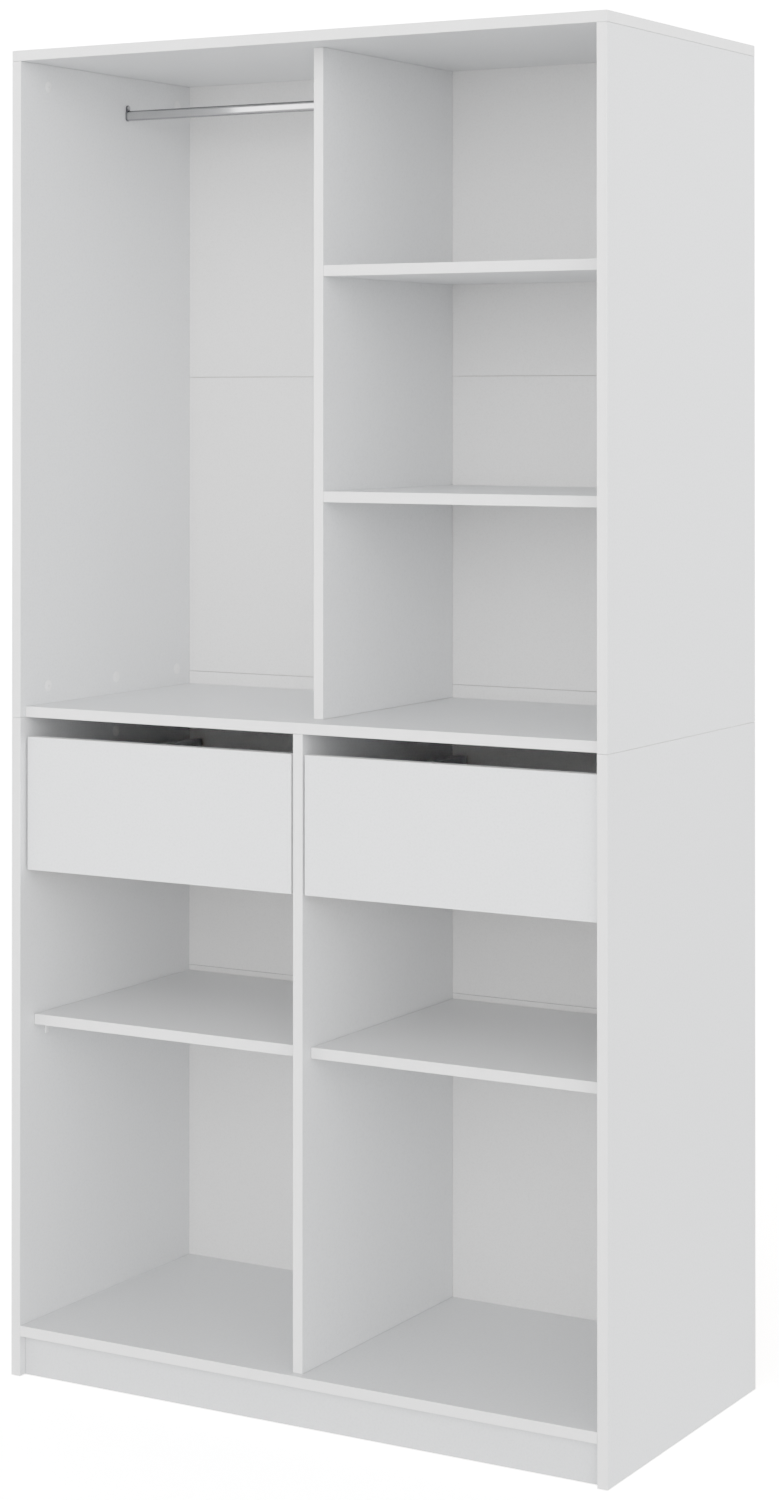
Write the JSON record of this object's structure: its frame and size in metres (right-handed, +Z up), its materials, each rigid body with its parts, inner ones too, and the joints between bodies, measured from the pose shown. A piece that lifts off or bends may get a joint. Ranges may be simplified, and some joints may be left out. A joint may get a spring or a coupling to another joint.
{
  "type": "wardrobe",
  "caption": "Open freestanding wardrobe carcass with a hanging rail, fixed and loose shelves, and inset drawers on telescopic runners under a finger gap.",
  "frame": {"origin": "on the floor, under the middle of the carcass", "axes": "+Z up, the open front faces -Y, +X to the right as seen from the front"},
  "size_m": [1, 0.5, 2],
  "materials": {
    "white_board": "white melamine-faced chipboard, satin, with white edge banding",
    "white_sheet": "thin hardboard, white lacquered; the rear of the back is raw",
    "chrome_rail": "bright chromed oval steel tube",
    "zinc_steel": "zinc-plated sheet steel",
    "white_plastic": "moulded white plastic"
  },
  "bodies": {
    "carcass": {"top_panel": "white_board", "left_side_upper": "white_board", "left_side_lower": "white_board", "right_side_upper": "white_board", "right_side_lower": "white_board", "middle_panel": "white_board", "bottom_panel": "white_board", "plinth": "white_board", "upper_divider": "white_board", "lower_divider": "white_board", "upper_shelf_high": "white_board", "upper_shelf_low": "white_board", "lower_left_shelf": "white_board", "lower_right_shelf": "white_board", "back_sheet_1": "white_sheet", "back_sheet_2": "white_sheet", "back_sheet_3": "white_sheet", "back_sheet_4": "white_sheet", "hanging_rail": "chrome_rail", "rail_bracket_left": "chrome_rail", "rail_bracket_right": "chrome_rail", "shelf_support_left_front": "white_plastic", "shelf_support_left_rear": "white_plastic", "shelf_support_right_front": "white_plastic", "shelf_support_right_rear": "white_plastic", "shelf_pin_front": "zinc_steel", "shelf_pin_rear": "zinc_steel", "cam_top_left_front": "white_plastic", "cam_top_left_rear": "white_plastic", "cam_top_right_front": "white_plastic", "cam_top_right_rear": "white_plastic", "cam_joint_left_front": "white_plastic", "cam_joint_left_middle": "white_plastic", "cam_joint_left_rear": "white_plastic", "cam_joint_right_front": "white_plastic", "cam_joint_right_middle": "white_plastic", "cam_joint_right_rear": "white_plastic", "left_drawer_runner_left_outer": "zinc_steel", "left_drawer_runner_right_outer": "zinc_steel", "right_drawer_runner_left_outer": "zinc_steel", "right_drawer_runner_right_outer": "zinc_steel"},
    "left_drawer": {"left_drawer_front": "white_board", "left_drawer_side_left": "white_board", "left_drawer_side_right": "white_board", "left_drawer_back": "white_board", "left_drawer_bottom": "white_sheet", "left_drawer_runner_left_inner": "zinc_steel", "left_drawer_runner_right_inner": "zinc_steel"},
    "left_drawer_slider_left": {"left_drawer_runner_left_middle": "zinc_steel"},
    "left_drawer_slider_right": {"left_drawer_runner_right_middle": "zinc_steel"},
    "right_drawer": {"right_drawer_front": "white_board", "right_drawer_side_left": "white_board", "right_drawer_side_right": "white_board", "right_drawer_back": "white_board", "right_drawer_bottom": "white_sheet", "right_drawer_runner_left_inner": "zinc_steel", "right_drawer_runner_right_inner": "zinc_steel"},
    "right_drawer_slider_left": {"right_drawer_runner_left_middle": "zinc_steel"},
    "right_drawer_slider_right": {"right_drawer_runner_right_middle": "zinc_steel"}
  },
  "joints": [
    {"name": "left_drawer_pull", "type": "slide", "parent": "carcass", "child": "left_drawer", "axis": [0, -1, 0], "range_m": [0, 0.4]},
    {"name": "left_drawer_slider_left_travel", "type": "slide", "parent": "carcass", "child": "left_drawer_slider_left", "axis": [0, -1, 0], "range_m": [0, 0.2]},
    {"name": "left_drawer_slider_right_travel", "type": "slide", "parent": "carcass", "child": "left_drawer_slider_right", "axis": [0, -1, 0], "range_m": [0, 0.2]},
    {"name": "right_drawer_pull", "type": "slide", "parent": "carcass", "child": "right_drawer", "axis": [0, -1, 0], "range_m": [0, 0.4]},
    {"name": "right_drawer_slider_left_travel", "type": "slide", "parent": "carcass", "child": "right_drawer_slider_left", "axis": [0, -1, 0], "range_m": [0, 0.2]},
    {"name": "right_drawer_slider_right_travel", "type": "slide", "parent": "carcass", "child": "right_drawer_slider_right", "axis": [0, -1, 0], "range_m": [0, 0.2]}
  ],
  "couplings": [
    {"joint": "left_drawer_slider_left_travel", "follows": "left_drawer_pull", "ratio": 0.5},
    {"joint": "left_drawer_slider_right_travel", "follows": "left_drawer_pull", "ratio": 0.5},
    {"joint": "right_drawer_slider_left_travel", "follows": "right_drawer_pull", "ratio": 0.5},
    {"joint": "right_drawer_slider_right_travel", "follows": "right_drawer_pull", "ratio": 0.5}
  ]
}
